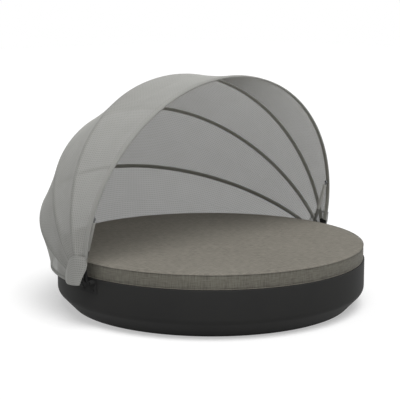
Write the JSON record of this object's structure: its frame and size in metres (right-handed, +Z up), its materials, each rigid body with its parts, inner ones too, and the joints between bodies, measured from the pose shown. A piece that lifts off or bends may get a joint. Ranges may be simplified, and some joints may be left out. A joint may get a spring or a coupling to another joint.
{
  "type": "outdoor daybed with folding canopy",
  "caption": "Round outdoor daybed: a low drum base with a seat cushion, and a mesh canopy on bent bows that folds down behind the seat on side pivots and gas struts.",
  "frame": {"origin": "on the floor under the centre of the round base, at the underside of the centre foot", "axes": "+Z up, -Y towards the open front of the canopy, +X along the axle of the canopy bows"},
  "size_m": [2.3252, 2.1769, 1.5571],
  "materials": {
    "shell": "satin",
    "deck": "matte",
    "frame": "satin",
    "cushion": "matte",
    "bow": "satin",
    "hardware": "satin",
    "rod": "satin",
    "rubber": "matte",
    "mesh_fabric": "matte"
  },
  "bodies": {
    "base": {"base_shell": "shell", "deck_panel": "deck", "main_beam": "frame", "front_beam": "frame", "rear_beam": "frame", "centre_post": "frame", "post_left": "frame", "post_right": "frame", "post_front": "frame", "post_rear": "frame", "centre_foot": "rubber", "foot_left": "rubber", "foot_right": "rubber", "foot_front": "rubber", "foot_rear": "rubber", "glide_1": "rubber", "glide_2": "rubber", "glide_3": "rubber", "glide_4": "rubber", "glide_5": "rubber", "glide_6": "rubber", "glide_7": "rubber", "glide_8": "rubber", "cushion": "cushion", "rear_rail": "hardware", "rail_clip_right": "hardware", "rail_clip_rear": "hardware", "rail_clip_left": "hardware", "bracket_right": "hardware", "bracket_left": "hardware", "backing_plate_right": "frame", "backing_plate_left": "frame", "pivot_bolt_right": "hardware", "pivot_bolt_left": "hardware", "pivot_nut_right": "hardware", "pivot_nut_left": "hardware", "bracket_bolt_right_1": "hardware", "bracket_bolt_right_2": "hardware", "bracket_bolt_left_1": "hardware", "bracket_bolt_left_2": "hardware", "apron_right": "mesh_fabric", "apron_left": "mesh_fabric"},
    "rear_bow": {"bow_rear": "bow", "canopy_panel_rear": "mesh_fabric"},
    "third_bow": {"bow_third": "bow", "canopy_panel_middle": "mesh_fabric"},
    "second_bow": {"bow_second": "bow", "canopy_panel_upper": "mesh_fabric"},
    "front_bow": {"bow_front": "bow", "canopy_panel_front": "mesh_fabric", "strut_stud_right": "hardware", "strut_stud_left": "hardware"},
    "right_cylinder": {"gas_cylinder_right": "hardware"},
    "right_rod": {"gas_rod_right": "rod"},
    "left_cylinder": {"gas_cylinder_left": "hardware"},
    "left_rod": {"gas_rod_left": "rod"}
  },
  "joints": [
    {"name": "canopy_fold", "type": "hinge", "parent": "base", "child": "rear_bow", "pos_m": [0, -0.032, 0.296], "axis": [-1, 0, 0], "range_deg": [0, 19.4], "deforming": ["canopy_panel_rear", "apron_right", "apron_left"]},
    {"name": "third_bow_fold", "type": "hinge", "parent": "rear_bow", "child": "third_bow", "pos_m": [0, -0.032, 0.296], "axis": [-1, 0, 0], "range_deg": [0, 23.1], "deforming": ["canopy_panel_middle"]},
    {"name": "second_bow_fold", "type": "hinge", "parent": "third_bow", "child": "second_bow", "pos_m": [0, -0.032, 0.296], "axis": [-1, 0, 0], "range_deg": [0, 20.8], "deforming": ["canopy_panel_upper"]},
    {"name": "front_bow_fold", "type": "hinge", "parent": "second_bow", "child": "front_bow", "pos_m": [0, -0.032, 0.296], "axis": [-1, 0, 0], "range_deg": [0, 21.5], "deforming": ["canopy_panel_front"]},
    {"name": "right_strut_swing", "type": "hinge", "parent": "base", "child": "right_cylinder", "pos_m": [1.0844, 0.052, 0.291], "axis": [-1, 0, 0], "range_deg": [0, 91.4]},
    {"name": "right_rod_slide", "type": "slide", "parent": "right_cylinder", "child": "right_rod", "axis": [0, 0.3236, -0.9462], "range_m": [0, 0.1045]},
    {"name": "left_strut_swing", "type": "hinge", "parent": "base", "child": "left_cylinder", "pos_m": [-1.0844, 0.052, 0.291], "axis": [-1, 0, 0], "range_deg": [0, 91.4]},
    {"name": "left_rod_slide", "type": "slide", "parent": "left_cylinder", "child": "left_rod", "axis": [0, 0.3236, -0.9462], "range_m": [0, 0.1045]}
  ],
  "couplings": [
    {"joint": "third_bow_fold", "follows": "canopy_fold", "ratio": 1.1907},
    {"joint": "second_bow_fold", "follows": "canopy_fold", "ratio": 1.0721},
    {"joint": "front_bow_fold", "follows": "canopy_fold", "ratio": 1.1082},
    {"joint": "right_strut_swing", "follows": "canopy_fold", "ratio": 4.706},
    {"joint": "right_rod_slide", "follows": "canopy_fold", "m_per_rad": 0.3081},
    {"joint": "left_strut_swing", "follows": "canopy_fold", "ratio": 4.706},
    {"joint": "left_rod_slide", "follows": "canopy_fold", "m_per_rad": 0.3081}
  ]
}
